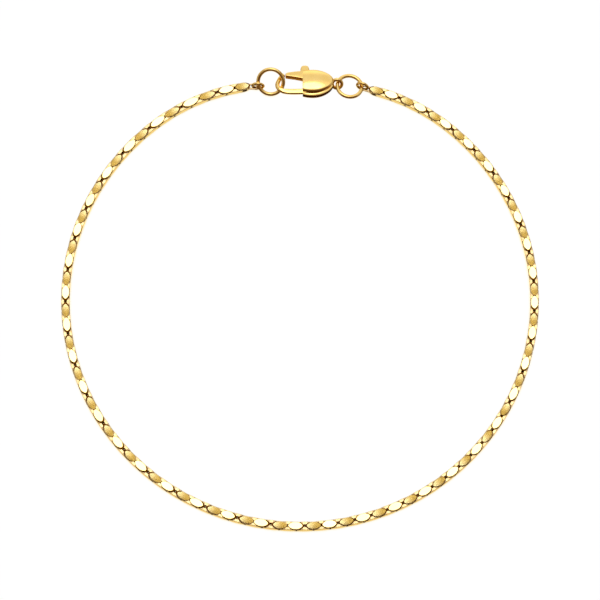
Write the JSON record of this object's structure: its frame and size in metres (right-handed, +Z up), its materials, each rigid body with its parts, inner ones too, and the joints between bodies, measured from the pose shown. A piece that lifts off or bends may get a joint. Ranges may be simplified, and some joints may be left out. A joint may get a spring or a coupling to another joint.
{
  "type": "faceted chain bracelet",
  "caption": "Closed loop of flat-faceted oval gold links, alternately bright and satin, fastened by a lobster clasp with a sprung lever between two jump rings.",
  "frame": {"origin": "middle of the loop on the surface that it lies on, which is the middle of the bounding box's base to within half a millimetre", "axes": "+Z up from the surface, the clasp at +Y, and the clasp's tail towards +X"},
  "size_m": [0.0618, 0.0626, 0.0024],
  "materials": {
    "diamond_cut_gold": "14-carat yellow gold, mirror-cut bright facets alternating with finely hatched satin ones",
    "polished_gold": "14-carat yellow gold, polished"
  },
  "bodies": {
    "bracelet": {"chain_left": "diamond_cut_gold", "chain_right": "diamond_cut_gold", "end_ring_left": "polished_gold", "end_ring_right": "polished_gold", "jump_ring_left": "polished_gold", "jump_ring_right": "polished_gold", "clasp_body": "polished_gold", "clasp_rivet": "polished_gold"},
    "lever": {"clasp_lever": "polished_gold"}
  },
  "joints": [
    {"name": "lever_hinge", "type": "hinge", "parent": "bracelet", "child": "lever", "pos_m": [0.00132, 0.02994, 0.00101], "axis": [0, 0.2079, 0.9781], "range_deg": [0, 25], "stiffness_Nm_per_rad": 0.004}
  ]
}
